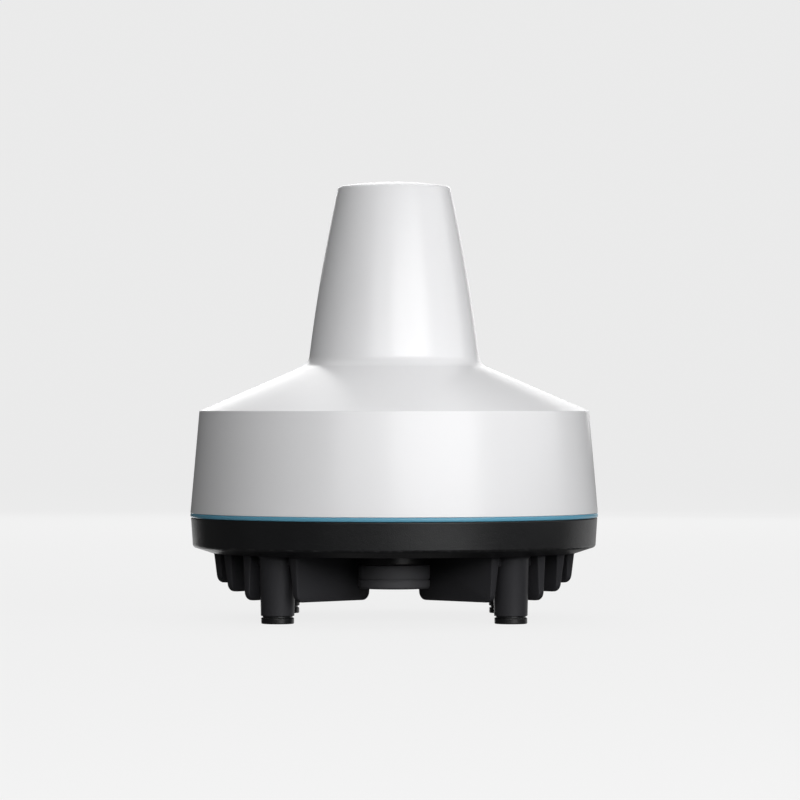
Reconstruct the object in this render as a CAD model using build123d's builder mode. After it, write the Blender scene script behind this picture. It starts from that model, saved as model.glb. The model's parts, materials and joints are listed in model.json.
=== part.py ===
from build123d import *
import os
from math import atan, cos, degrees, radians, sin, tan

os.makedirs("parts", exist_ok=True)

# Satellite receiver head. Millimetres; +Z up; the origin is on the axis, in the plane of the four feet.
# ---------------------------------------------------------------- driving dimensions
# Radome: radii and heights of its outer form.
top_z = 161.3
rim_r, rim_z = 20.7, 159.5
belly_r, belly_z = 27.0, 126.9
waist_r, waist_z = 31.7, 94.0
crease_r, crease_z = 72.0, 76.6
skirt_r, skirt_z = 75.3, 38.95
rim_round, waist_round = 1.3, 5.0
radome_wall = 2.5

# Base casting.
underside_z, floor_t = 24.4, 3.0
underside_r = 67.7
base_low_r, base_low_z = 74.4, 26.6
base_high_r, base_high_z = 75.1, 37.35
base_low_round, underside_round, base_high_round = 1.2, 0.8, 0.4
spigot_r, spigot_wall, spigot_z = 72.3, 3.5, 44.0
seal_groove_z, seal_groove_h, seal_groove_depth = 40.2, 2.6, 1.6
seal_w, seal_gap, seal_edge = 1.8, 0.3, 0.4
ring_r, ring_gap, ring_round = 75.3, 0.1, 0.35

# Radome screws: four near the sides and four near the front and back.
screw_circle_r = 63.0
screw_side_angle, screw_front_angle = 15.5, 72.0
pillar_r, pillar_z = 4.5, 42.0
boss_r = 4.0
cover_hole_r, cover_pilot_r, cover_pilot_depth = 1.7, 1.5, 12.0
cover_head_r, cover_head_h, cover_sink_r, cover_sink_depth = 2.75, 2.4, 3.3, 4.4
cover_head_round, cover_thread_gap, cover_tip_gap = 0.5, 0.05, 2.0
hex_r, hex_depth = 1.4, 1.4
washer_t = 0.6

# Posts, their feet and inserts.
foot_spacing = 84.0
post_root_r, post_tip_r = 6.5, 6.05
collar_h, collar_r, collar_neck_r, collar_neck_h, collar_round = 2.8, 5.95, 5.4, 0.6, 0.35
insert_r, insert_bore_r, insert_top_z, insert_low_z = 4.0, 2.5, 14.0, 0.4
post_screw_r, post_screw_head_r, post_screw_head_h, post_screw_round = 2.0, 3.5, 3.2, 0.6
post_screw_gap, post_hole_gap, post_hex_r, post_hex_depth = 1.0, 0.2, 1.7, 1.8

# Cooling fins: the offset of each from its quadrant's diagonal, the height of its lower edge,
# the distance at which its outer end meets the underside, and how far that end leans in, in degrees.
fin_rows = ((11.1, 8.1, 64.3, 0.0), (24.4, 10.8, 61.5, 6.0), (37.7, 13.5, 54.1, 5.0))
fin_channel = 3.0
fin_root_t, fin_tip_t, fin_round = 4.0, 2.2, 3.0
# Plates: the fins on the other side of each post, towards the front and the back.
plate_beside, plate_low_z, plate_inner, plate_outer, plate_lean = 11.1, 7.9, 24.9, 62.6, 5.8

# Port, between the two front plates: fixed collar, coaxial connector and screw-on cap.
port_y = -38.0
port_r, port_collar_low_z, port_collar_round = 12.9, 21.3, 0.4
port_spigot_r, port_recess_r = 10.0, 9.0
barrel_r, barrel_bore_r, barrel_low_z = 5.55, 4.15, 14.6
flange_r, flange_low_z = 8.8, 22.4
rear_r, rear_top_z, rear_bore_r, rear_gap = 6.0, 33.0, 2.4, 0.1
connector_chamfer, insulator_web = 0.4, 1.2
seat_inner_r, seat_outer_r, seat_depth, seat_gap, seat_round = 6.6, 8.2, 1.0, 0.1, 0.3
contact_r, contact_low_z, contact_top_z = 0.65, 16.0, 37.0
contact_bore_r, contact_bore_depth = 0.4, 4.0
nut_across, nut_h, lock_washer_r, lock_washer_t, nut_thread_gap = 17.0, 3.0, 10.6, 0.8, 0.05
cap_low_z, cap_high_z, cap_floor_z = 12.6, 21.2, 14.4
thread_clearance = 0.06
cap_sleeve_r, cap_wall, cap_chamfer, cap_round = 7.6, 1.8, 0.6, 0.4
cap_groove_z, cap_groove_w, cap_groove_depth = 15.85, 0.6, 0.5
gasket_r, gasket_t, gasket_gap = 5.0, 0.75, 0.05

# Vent plug, in the rear bay.
vent_y, vent_r, vent_thread_r, vent_low_z = 40.0, 6.0, 3.0, 21.4
vent_thread_gap, vent_thread_end, vent_round = 0.1, 1.5, 0.8
vent_seal_r, vent_seal_t = 5.0, 0.8
vent_port_circle_r, vent_port_r, vent_port_depth = 3.6, 0.5, 1.5
vent_slot_l, vent_slot_w, vent_slot_depth = 6.0, 1.2, 0.8

# Circuit board and what it carries.
board_r, board_z, board_t = 57.0, 38.0, 1.6
standoff_circle_r, standoff_start, standoff_across = 50.0, 45.0, 6.0
stud_r, stud_hole_r = 1.45, 1.5
stud_depth, stud_relief, spacer_relief, board_hole_gap = 5.0, 1.0, 4.0, 0.1
module_edge, can_corner, power_round, block_chamfer = 0.4, 1.0, 0.6, 1.0
module_size, module_at = (24.0, 24.0, 3.0), (-22.0, -16.0)
can_size, can_at = (34.0, 25.0, 6.0), (24.0, 18.0)
power_size, power_at = (20.0, 12.0, 8.0), (22.0, -20.0)
sheet_t = 0.4
heat_block_size = (28.0, 20.0)
thermal_pad_t = 1.5
socket_r, socket_gap = 4.0, 0.05
feed_socket_r, feed_socket_h, feed_socket_edge = 3.0, 4.0, 0.5

# Antenna stack.
plane_z, plane_t, plane_r = 66.0, 1.5, 56.0
feed_r, feed_gap, feed_clearance, feed_end = 1.1, 0.05, 0.4, 4.0
plane_screw_head_h, plane_screw_round, plane_hex_depth = 1.8, 0.6, 1.0
amplifier_size = (30.0, 22.0, 7.0)
hub_r, hub_top_z, hub_flange_h, hub_step_h = 15.0, 76.0, 2.0, 4.0
former_r, former_wall, former_top_z = 11.0, 1.2, 148.0
arm_low_z, arm_h, arm_w, arm_t, arm_gap = 79.0, 64.0, 2.6, 0.3, 0.02
tip_cap_r, tip_cap_h, tip_cap_plug, tip_cap_round = 12.0, 3.0, 4.0, 0.8

# ---------------------------------------------------------------- values worked out from them
floor_z = underside_z + floor_t
inner_base_r = spigot_r - spigot_wall
board_top_z = board_z + board_t
plane_top_z = plane_z + plane_t
post_taper = degrees(atan((post_root_r - post_tip_r) / (underside_z - collar_h)))
screw_angles = [
    half_turn + side * angle
    for half_turn in (0, 180)
    for angle in (screw_side_angle, screw_front_angle)
    for side in (-1, 1)
]
screw_points = [
    (screw_circle_r * cos(radians(angle)), screw_circle_r * sin(radians(angle)))
    for angle in screw_angles
]
port_plane = Plane.XZ.offset(-port_y)
port_axis = Axis((0, port_y, 0), (0, 0, 1))
# Each quadrant: the angle of its diagonal, and the side of it on which its fins stand.
quadrants = ((-45, 1), (45, -1), (135, 1), (225, -1))


def radome_section(inset):
    """Half section of the radome's outer form, drawn in by inset."""
    rim = (rim_r - inset, rim_z - inset)
    waist = (waist_r - inset, waist_z - inset)
    crease = (crease_r - inset, crease_z - 0.8 * inset)
    crown_z = top_z - inset
    rise = crown_z - rim[1]
    crown_radius = (rim[0] ** 2 + rise**2) / (2 * rise)
    half_way = (rim[0] / 2, crown_z - (rim[0] / 2) ** 2 / (2 * crown_radius))
    with BuildSketch(Plane.XZ) as section:
        with BuildLine():
            ThreePointArc((0, crown_z), half_way, rim)
            ThreePointArc(rim, (belly_r - inset, belly_z), waist)
            Polyline(waist, crease, (skirt_r - inset, skirt_z), (0, skirt_z), (0, crown_z))
        make_face()
        fillet(section.vertices().sort_by_distance(rim)[0:1], rim_round)
        fillet(section.vertices().sort_by_distance(waist)[0:1], waist_round)
    return section.sketch


def blade(inner, outer, low_z, root_t, tip_t, lean, corner):
    """A drafted fin standing down from the underside along +X, with rounded lower corners."""
    outer_low = outer - (underside_z - low_z) * tan(radians(lean))
    with BuildPart() as body:
        with BuildSketch(Plane.YZ.offset(inner)):
            with BuildLine():
                Polyline(
                    (-root_t / 2, underside_z),
                    (root_t / 2, underside_z),
                    (tip_t / 2, low_z),
                    (-tip_t / 2, low_z),
                    close=True,
                )
            make_face()
        extrude(amount=outer - inner)
        with BuildSketch(Plane.XZ) as side:
            with BuildLine():
                Polyline(
                    (inner, underside_z),
                    (outer, underside_z),
                    (outer_low, low_z),
                    (inner, low_z),
                    close=True,
                )
            make_face()
            fillet(side.vertices().group_by(Axis.Y)[0], corner)
        extrude(amount=root_t, both=True, mode=Mode.INTERSECT)
    return body.part


# ---------------------------------------------------------------- shells
with BuildPart() as boss_columns:
    with BuildSketch(Plane.XY.offset(pillar_z)):
        with Locations(*screw_points):
            Circle(boss_r)
    extrude(amount=crease_z - pillar_z)
    revolve(radome_section(radome_wall / 2), Axis.Z, mode=Mode.INTERSECT)

with BuildPart() as radome:
    revolve(radome_section(0), Axis.Z)
    revolve(radome_section(radome_wall), Axis.Z, mode=Mode.SUBTRACT)
    add(boss_columns.part)
    with BuildSketch(Plane.XY.offset(pillar_z)):
        with Locations(*screw_points):
            Circle(cover_pilot_r)
    extrude(amount=cover_pilot_depth, mode=Mode.SUBTRACT)
radome.part.label = "radome"
export_step(radome.part, "parts/radome.step")

with BuildPart() as trim_ring:
    with BuildSketch(Plane.XY.offset(base_high_z)):
        Circle(ring_r)
        Circle(spigot_r + ring_gap, mode=Mode.SUBTRACT)
    extrude(amount=skirt_z - base_high_z)
    fillet(trim_ring.edges().filter_by(GeomType.CIRCLE).sort_by(SortBy.RADIUS)[-2:], ring_round)
trim_ring.part.label = "trim_ring"
export_step(trim_ring.part, "parts/trim_ring.step")

with BuildPart() as radome_seal:
    with BuildSketch(Plane.XZ) as section:
        with Locations((spigot_r - seal_groove_depth, seal_groove_z + seal_groove_h / 2)):
            Rectangle(seal_w, seal_groove_h - seal_gap, align=(Align.MIN, Align.CENTER))
        chamfer(section.vertices(), seal_edge)
    revolve(axis=Axis.Z)
radome_seal.part.label = "radome_seal"
export_step(radome_seal.part, "parts/radome_seal.step")

with BuildPart() as base_casting:
    with BuildSketch(Plane.XZ) as section:
        with BuildLine():
            Polyline(
                (0, underside_z),
                (underside_r, underside_z),
                (base_low_r, base_low_z),
                (base_high_r, base_high_z),
                (spigot_r, base_high_z),
                (spigot_r, spigot_z),
                (inner_base_r, spigot_z),
                (inner_base_r, floor_z),
                (0, floor_z),
                close=True,
            )
        make_face()
        fillet(section.vertices().sort_by_distance((base_low_r, base_low_z))[0:1], base_low_round)
        fillet(section.vertices().sort_by_distance((underside_r, underside_z))[0:1], underside_round)
        fillet(section.vertices().sort_by_distance((base_high_r, base_high_z))[0:1], base_high_round)
    revolve(axis=Axis.Z)
    with BuildSketch(Plane.XY.offset(seal_groove_z)):
        Circle(spigot_r + 1)
        Circle(spigot_r - seal_groove_depth, mode=Mode.SUBTRACT)
    extrude(amount=seal_groove_h, mode=Mode.SUBTRACT)
    with BuildSketch(Plane.XY.offset(floor_z)):
        with Locations(*screw_points):
            Circle(pillar_r)
    extrude(amount=pillar_z - floor_z)
    with Locations(*[(x, y, underside_z) for x, y in screw_points]):
        with Locations(Rotation(180, 0, 0)):
            CounterBoreHole(cover_hole_r, cover_sink_r, cover_sink_depth, depth=pillar_z - underside_z)
    with Locations((0, port_y, floor_z)):
        Hole(port_spigot_r, depth=floor_t)
    with Locations((0, vent_y, floor_z)):
        Hole(vent_thread_r + vent_thread_gap, depth=floor_t)
    with Locations((0, 0, floor_z)):
        with GridLocations(foot_spacing, foot_spacing, 2, 2):
            Hole(post_screw_r + post_hole_gap, depth=floor_t)
base_casting.part.label = "base_casting"
export_step(base_casting.part, "parts/base_casting.step")

# ---------------------------------------------------------------- fins and plates
fin_blades = []
for beside, low_z, outer, lean in fin_rows:
    fin = blade(beside + fin_channel, outer, low_z, fin_root_t, fin_tip_t, lean, fin_round)
    fin_blades.append((beside, fin))
with BuildPart() as cooling_fins:
    for angle, side in quadrants:
        for beside, fin in fin_blades:
            with Locations(Location((0, 0, 0), (0, 0, angle)) * Location((0, side * beside, 0))):
                add(fin)
cooling_fins.part.label = "cooling_fins"
export_step(cooling_fins.part, "parts/cooling_fins.step")

plate = blade(plate_inner, plate_outer, plate_low_z, fin_root_t, fin_tip_t, plate_lean, fin_round)
with BuildPart() as diagonal_plates:
    for angle, side in quadrants:
        with Locations(Location((0, 0, 0), (0, 0, angle)) * Location((0, -side * plate_beside, 0))):
            add(plate)
diagonal_plates.part.label = "diagonal_plates"
export_step(diagonal_plates.part, "parts/diagonal_plates.step")

# ---------------------------------------------------------------- posts and feet
with BuildPart() as mounting_posts:
    with BuildSketch(Plane.XY.offset(underside_z)):
        with GridLocations(foot_spacing, foot_spacing, 2, 2):
            Circle(post_root_r)
    extrude(amount=-(underside_z - collar_h), taper=post_taper)
    with BuildSketch(Plane.XY.offset(collar_h)):
        with GridLocations(foot_spacing, foot_spacing, 2, 2):
            Circle(insert_r)
    extrude(amount=insert_top_z - collar_h, mode=Mode.SUBTRACT)
    with BuildSketch(Plane.XY.offset(insert_top_z)):
        with GridLocations(foot_spacing, foot_spacing, 2, 2):
            Circle(post_screw_r)
    extrude(amount=underside_z - insert_top_z, mode=Mode.SUBTRACT)
mounting_posts.part.label = "mounting_posts"
export_step(mounting_posts.part, "parts/mounting_posts.step")

with BuildPart() as foot_collars:
    with BuildSketch():
        with GridLocations(foot_spacing, foot_spacing, 2, 2):
            Circle(collar_r)
    extrude(amount=collar_h - collar_neck_h)
    fillet(foot_collars.edges().filter_by(GeomType.CIRCLE), collar_round)
    with BuildSketch(Plane.XY.offset(collar_h - collar_neck_h)):
        with GridLocations(foot_spacing, foot_spacing, 2, 2):
            Circle(collar_neck_r)
    extrude(amount=collar_neck_h)
    with BuildSketch():
        with GridLocations(foot_spacing, foot_spacing, 2, 2):
            Circle(insert_r)
    extrude(amount=collar_h, mode=Mode.SUBTRACT)
foot_collars.part.label = "foot_collars"
export_step(foot_collars.part, "parts/foot_collars.step")

with BuildPart() as post_inserts:
    with BuildSketch(Plane.XY.offset(insert_low_z)):
        with GridLocations(foot_spacing, foot_spacing, 2, 2):
            Circle(insert_r)
            Circle(insert_bore_r, mode=Mode.SUBTRACT)
    extrude(amount=insert_top_z - insert_low_z)
post_inserts.part.label = "post_inserts"
export_step(post_inserts.part, "parts/post_inserts.step")

with BuildPart() as post_screws:
    with BuildSketch(Plane.XY.offset(floor_z)):
        with GridLocations(foot_spacing, foot_spacing, 2, 2):
            Circle(post_screw_head_r)
    extrude(amount=post_screw_head_h)
    fillet(post_screws.edges().filter_by(GeomType.CIRCLE).group_by(Axis.Z)[-1], post_screw_round)
    with BuildSketch(Plane.XY.offset(floor_z)):
        with GridLocations(foot_spacing, foot_spacing, 2, 2):
            Circle(post_screw_r)
    extrude(amount=-(floor_z - insert_top_z - post_screw_gap))
    with BuildSketch(Plane.XY.offset(floor_z + post_screw_head_h)):
        with GridLocations(foot_spacing, foot_spacing, 2, 2):
            RegularPolygon(post_hex_r, 6)
    extrude(amount=-post_hex_depth, mode=Mode.SUBTRACT)
post_screws.part.label = "post_screws"
export_step(post_screws.part, "parts/post_screws.step")

# ---------------------------------------------------------------- radome screws
sink_top_z = underside_z + cover_sink_depth
with BuildPart() as cover_washers:
    with BuildSketch(Plane.XY.offset(sink_top_z)):
        with Locations(*screw_points):
            Circle(cover_head_r)
            Circle(cover_pilot_r, mode=Mode.SUBTRACT)
    extrude(amount=-washer_t)
cover_washers.part.label = "cover_washers"
export_step(cover_washers.part, "parts/cover_washers.step")

with BuildPart() as cover_screws:
    with BuildSketch(Plane.XY.offset(sink_top_z - washer_t)):
        with Locations(*screw_points):
            Circle(cover_head_r)
    extrude(amount=-cover_head_h)
    fillet(cover_screws.edges().filter_by(GeomType.CIRCLE).group_by(Axis.Z)[0], cover_head_round)
    with BuildSketch(Plane.XY.offset(sink_top_z - washer_t)):
        with Locations(*screw_points):
            Circle(cover_pilot_r - cover_thread_gap)
    extrude(amount=pillar_z + cover_pilot_depth - cover_tip_gap - sink_top_z + washer_t)
    with BuildSketch(Plane.XY.offset(sink_top_z - washer_t - cover_head_h)):
        with Locations(*screw_points):
            RegularPolygon(hex_r, 6)
    extrude(amount=hex_depth, mode=Mode.SUBTRACT)
cover_screws.part.label = "cover_screws"
export_step(cover_screws.part, "parts/cover_screws.step")

# ---------------------------------------------------------------- vent plug
with BuildPart() as vent_seal:
    with BuildSketch(Plane.XY.offset(underside_z)):
        with Locations((0, vent_y)):
            Circle(vent_seal_r)
            Circle(vent_thread_r + vent_thread_gap, mode=Mode.SUBTRACT)
    extrude(amount=-vent_seal_t)
vent_seal.part.label = "vent_seal"
export_step(vent_seal.part, "parts/vent_seal.step")

with BuildPart() as vent_plug:
    with BuildSketch(Plane.XY.offset(vent_low_z)):
        with Locations((0, vent_y)):
            Circle(vent_r)
    extrude(amount=underside_z - vent_seal_t - vent_low_z)
    fillet(vent_plug.edges().filter_by(GeomType.CIRCLE).group_by(Axis.Z)[0], vent_round)
    with BuildSketch(Plane.XY.offset(underside_z - vent_seal_t)):
        with Locations((0, vent_y)):
            Circle(vent_thread_r)
    extrude(amount=vent_seal_t + floor_t + vent_thread_end)
    with Locations((0, vent_y, vent_low_z)):
        with PolarLocations(vent_port_circle_r, 6):
            Hole(vent_port_r, depth=vent_port_depth)
    with BuildSketch(Plane.XY.offset(vent_low_z)):
        with Locations((0, vent_y)):
            Rectangle(vent_slot_l, vent_slot_w)
    extrude(amount=vent_slot_depth, mode=Mode.SUBTRACT)
vent_plug.part.label = "vent_plug"
export_step(vent_plug.part, "parts/vent_plug.step")

# ---------------------------------------------------------------- port: collar and coaxial connector
with BuildPart() as port_collar:
    with BuildSketch(port_plane) as section:
        with BuildLine():
            Polyline(
                (rear_r + rear_gap, underside_z),
                (port_recess_r, underside_z),
                (port_recess_r, port_collar_low_z),
                (port_r, port_collar_low_z),
                (port_r, underside_z),
                (port_spigot_r, underside_z),
                (port_spigot_r, floor_z),
                (rear_r + rear_gap, floor_z),
                close=True,
            )
        make_face()
        fillet(section.vertices().sort_by_distance((port_r, port_collar_low_z))[0:1], port_collar_round)
    revolve(axis=port_axis)
port_collar.part.label = "port_collar"
export_step(port_collar.part, "parts/port_collar.step")

with BuildPart() as coax_body:
    with BuildSketch(port_plane) as section:
        with BuildLine():
            Polyline(
                (barrel_bore_r, barrel_low_z),
                (barrel_r, barrel_low_z),
                (barrel_r, flange_low_z),
                (flange_r, flange_low_z),
                (flange_r, underside_z),
                (rear_r, underside_z),
                (rear_r, rear_top_z),
                (rear_bore_r, rear_top_z),
                (rear_bore_r, flange_low_z),
                (barrel_bore_r, flange_low_z),
                close=True,
            )
        make_face()
        chamfer(section.vertices().sort_by_distance((barrel_r, barrel_low_z))[0:1], connector_chamfer)
        chamfer(section.vertices().sort_by_distance((rear_r, rear_top_z))[0:1], connector_chamfer)
    revolve(axis=port_axis)
    with BuildSketch(Plane.XY.offset(underside_z)):
        with Locations((0, port_y)):
            Circle(seat_outer_r)
            Circle(seat_inner_r, mode=Mode.SUBTRACT)
    extrude(amount=-seat_depth, mode=Mode.SUBTRACT)
coax_body.part.label = "coax_body"
export_step(coax_body.part, "parts/coax_body.step")

with BuildPart() as coax_seal:
    with BuildSketch(Plane.XY.offset(underside_z)):
        with Locations((0, port_y)):
            Circle(seat_outer_r - seat_gap)
            Circle(seat_inner_r + seat_gap, mode=Mode.SUBTRACT)
    extrude(amount=-seat_depth)
    fillet(coax_seal.edges().filter_by(GeomType.CIRCLE), seat_round)
coax_seal.part.label = "coax_seal"
export_step(coax_seal.part, "parts/coax_seal.step")

with BuildPart() as coax_insulator:
    with BuildSketch(port_plane):
        with BuildLine():
            Polyline(
                (contact_r, contact_low_z),
                (rear_bore_r, contact_low_z),
                (rear_bore_r, flange_low_z - insulator_web),
                (barrel_bore_r, flange_low_z - insulator_web),
                (barrel_bore_r, flange_low_z),
                (rear_bore_r, flange_low_z),
                (rear_bore_r, rear_top_z),
                (contact_r, rear_top_z),
                close=True,
            )
        make_face()
    revolve(axis=port_axis)
coax_insulator.part.label = "coax_insulator"
export_step(coax_insulator.part, "parts/coax_insulator.step")

with BuildPart() as coax_contact:
    with BuildSketch(Plane.XY.offset(contact_low_z)):
        with Locations((0, port_y)):
            Circle(contact_r)
    extrude(amount=contact_top_z - contact_low_z)
    with BuildSketch(Plane.XY.offset(contact_low_z)):
        with Locations((0, port_y)):
            Circle(contact_bore_r)
    extrude(amount=contact_bore_depth, mode=Mode.SUBTRACT)
coax_contact.part.label = "coax_contact"
export_step(coax_contact.part, "parts/coax_contact.step")

with BuildPart() as coax_washer:
    with BuildSketch(Plane.XY.offset(floor_z)):
        with Locations((0, port_y)):
            Circle(lock_washer_r)
            Circle(rear_r + rear_gap, mode=Mode.SUBTRACT)
    extrude(amount=lock_washer_t)
coax_washer.part.label = "coax_washer"
export_step(coax_washer.part, "parts/coax_washer.step")

with BuildPart() as coax_nut:
    with BuildSketch(Plane.XY.offset(floor_z + lock_washer_t)):
        with Locations((0, port_y)):
            RegularPolygon(nut_across / 2, 6, major_radius=False)
            Circle(rear_r + nut_thread_gap, mode=Mode.SUBTRACT)
    extrude(amount=nut_h)
coax_nut.part.label = "coax_nut"
export_step(coax_nut.part, "parts/coax_nut.step")

# ---------------------------------------------------------------- port cap, which unscrews downwards
with BuildPart() as port_cap:
    with BuildSketch(port_plane) as section:
        with BuildLine():
            Polyline(
                (0, cap_low_z),
                (port_r, cap_low_z),
                (port_r, cap_high_z),
                (port_r - cap_wall, cap_high_z),
                (port_r - cap_wall, cap_floor_z),
                (cap_sleeve_r, cap_floor_z),
                (cap_sleeve_r, cap_high_z),
                (barrel_r + thread_clearance, cap_high_z),
                (barrel_r + thread_clearance, cap_floor_z - gasket_t),
                (0, cap_floor_z - gasket_t),
                close=True,
            )
        make_face()
        chamfer(section.vertices().sort_by_distance((port_r, cap_low_z))[0:1], cap_chamfer)
        fillet(section.vertices().sort_by_distance((port_r, cap_high_z))[0:1], cap_round)
        with Locations((port_r, cap_groove_z)):
            Rectangle(2 * cap_groove_depth, cap_groove_w, mode=Mode.SUBTRACT)
    revolve(axis=port_axis)
port_cap.part.label = "port_cap"
export_step(port_cap.part, "parts/port_cap.step")

with BuildPart() as cap_gasket:
    with BuildSketch(Plane.XY.offset(cap_floor_z - gasket_t + gasket_gap)):
        with Locations((0, port_y)):
            Circle(gasket_r)
    extrude(amount=gasket_t)
cap_gasket.part.label = "cap_gasket"
export_step(cap_gasket.part, "parts/cap_gasket.step")

# ---------------------------------------------------------------- circuit board and modules
with BuildPart() as board_standoffs:
    with BuildSketch(Plane.XY.offset(floor_z)):
        with PolarLocations(standoff_circle_r, 4, start_angle=standoff_start):
            RegularPolygon(standoff_across / 2, 6, major_radius=False)
    extrude(amount=board_z - floor_z)
    with BuildSketch(Plane.XY.offset(board_z)):
        with PolarLocations(standoff_circle_r, 4, start_angle=standoff_start):
            Circle(stud_hole_r)
    extrude(amount=-stud_depth - stud_relief, mode=Mode.SUBTRACT)
board_standoffs.part.label = "board_standoffs"
export_step(board_standoffs.part, "parts/board_standoffs.step")

with BuildPart() as main_board:
    with BuildSketch(Plane.XY.offset(board_z)):
        Circle(board_r)
        with PolarLocations(standoff_circle_r, 4, start_angle=standoff_start):
            Circle(stud_hole_r + board_hole_gap, mode=Mode.SUBTRACT)
    extrude(amount=board_t)
main_board.part.label = "main_board"
export_step(main_board.part, "parts/main_board.step")

with BuildPart() as receiver_module:
    with Locations((*module_at, board_top_z)):
        Box(*module_size, align=(Align.CENTER, Align.CENTER, Align.MIN))
    chamfer(receiver_module.edges().group_by(Axis.Z)[-1], module_edge)
receiver_module.part.label = "receiver_module"
export_step(receiver_module.part, "parts/receiver_module.step")

with BuildPart() as shield_can:
    with Locations((*can_at, board_top_z)):
        Box(*can_size, align=(Align.CENTER, Align.CENTER, Align.MIN))
    fillet(shield_can.edges().filter_by(Axis.Z), can_corner)
    offset(amount=-sheet_t, openings=shield_can.faces().sort_by(Axis.Z)[0])
shield_can.part.label = "shield_can"
export_step(shield_can.part, "parts/shield_can.step")

with BuildPart() as power_module:
    with Locations((*power_at, board_top_z)):
        Box(*power_size, align=(Align.CENTER, Align.CENTER, Align.MIN))
    fillet(power_module.edges().group_by(Axis.Z)[-1], power_round)
power_module.part.label = "power_module"
export_step(power_module.part, "parts/power_module.step")

with BuildPart() as heat_block:
    with BuildSketch(Plane.XY.offset(floor_z)):
        with Locations(can_at):
            Rectangle(*heat_block_size)
    extrude(amount=board_z - thermal_pad_t - floor_z)
    chamfer(heat_block.edges().filter_by(Axis.Z), block_chamfer)
heat_block.part.label = "heat_block"
export_step(heat_block.part, "parts/heat_block.step")

with BuildPart() as thermal_pad:
    with BuildSketch(Plane.XY.offset(board_z)):
        with Locations(can_at):
            Rectangle(*heat_block_size)
    extrude(amount=-thermal_pad_t)
thermal_pad.part.label = "thermal_pad"
export_step(thermal_pad.part, "parts/thermal_pad.step")

with BuildPart() as port_socket:
    with BuildSketch(Plane.XY.offset(rear_top_z)):
        with Locations((0, port_y)):
            Circle(socket_r)
            Circle(contact_r + socket_gap, mode=Mode.SUBTRACT)
    extrude(amount=board_z - rear_top_z)
port_socket.part.label = "port_socket"
export_step(port_socket.part, "parts/port_socket.step")

with BuildPart() as feed_socket:
    with BuildSketch(Plane.XY.offset(board_top_z)):
        Circle(feed_socket_r)
        Circle(feed_r, mode=Mode.SUBTRACT)
    extrude(amount=feed_socket_h)
    top_edges = feed_socket.edges().filter_by(GeomType.CIRCLE).group_by(Axis.Z)[-1]
    chamfer(top_edges.sort_by(SortBy.RADIUS)[-1], feed_socket_edge)
feed_socket.part.label = "feed_socket"
export_step(feed_socket.part, "parts/feed_socket.step")

# ---------------------------------------------------------------- antenna stack
with BuildPart() as plane_spacers:
    with BuildSketch(Plane.XY.offset(board_top_z)):
        with PolarLocations(standoff_circle_r, 4, start_angle=standoff_start):
            RegularPolygon(standoff_across / 2, 6, major_radius=False)
    extrude(amount=plane_z - board_top_z)
    with BuildSketch(Plane.XY.offset(board_top_z)):
        with PolarLocations(standoff_circle_r, 4, start_angle=standoff_start):
            Circle(stud_r)
    extrude(amount=-board_t - stud_depth)
    with BuildSketch(Plane.XY.offset(plane_z)):
        with PolarLocations(standoff_circle_r, 4, start_angle=standoff_start):
            Circle(stud_hole_r)
    extrude(amount=-stud_depth - spacer_relief, mode=Mode.SUBTRACT)
plane_spacers.part.label = "plane_spacers"
export_step(plane_spacers.part, "parts/plane_spacers.step")

with BuildPart() as ground_plane:
    with BuildSketch(Plane.XY.offset(plane_z)):
        Circle(plane_r)
        Circle(feed_r + feed_clearance, mode=Mode.SUBTRACT)
        with PolarLocations(standoff_circle_r, 4, start_angle=standoff_start):
            Circle(stud_hole_r + board_hole_gap, mode=Mode.SUBTRACT)
    extrude(amount=plane_t)
ground_plane.part.label = "ground_plane"
export_step(ground_plane.part, "parts/ground_plane.step")

with BuildPart() as plane_screws:
    with BuildSketch(Plane.XY.offset(plane_top_z)):
        with PolarLocations(standoff_circle_r, 4, start_angle=standoff_start):
            Circle(cover_head_r)
    extrude(amount=plane_screw_head_h)
    fillet(plane_screws.edges().filter_by(GeomType.CIRCLE).group_by(Axis.Z)[-1], plane_screw_round)
    with BuildSketch(Plane.XY.offset(plane_top_z)):
        with PolarLocations(standoff_circle_r, 4, start_angle=standoff_start):
            Circle(stud_r)
    extrude(amount=-plane_t - stud_depth)
    with BuildSketch(Plane.XY.offset(plane_top_z + plane_screw_head_h)):
        with PolarLocations(standoff_circle_r, 4, start_angle=standoff_start):
            RegularPolygon(hex_r, 6)
    extrude(amount=-plane_hex_depth, mode=Mode.SUBTRACT)
plane_screws.part.label = "plane_screws"
export_step(plane_screws.part, "parts/plane_screws.step")

with BuildPart() as amplifier_can:
    with Locations((0, 0, plane_z)):
        Box(*amplifier_size, align=(Align.CENTER, Align.CENTER, Align.MAX))
    fillet(amplifier_can.edges().filter_by(Axis.Z), can_corner)
    offset(amount=-sheet_t, openings=amplifier_can.faces().sort_by(Axis.Z)[-1])
    with Locations((0, 0, plane_z - amplifier_size[2])):
        Hole(feed_r + feed_gap, depth=2 * sheet_t)
amplifier_can.part.label = "amplifier_can"
export_step(amplifier_can.part, "parts/amplifier_can.step")

with BuildPart() as feed_coax:
    with BuildSketch(Plane.XY.offset(board_top_z)):
        Circle(feed_r)
    extrude(amount=hub_top_z - feed_end - board_top_z)
feed_coax.part.label = "feed_coax"
export_step(feed_coax.part, "parts/feed_coax.step")

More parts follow.
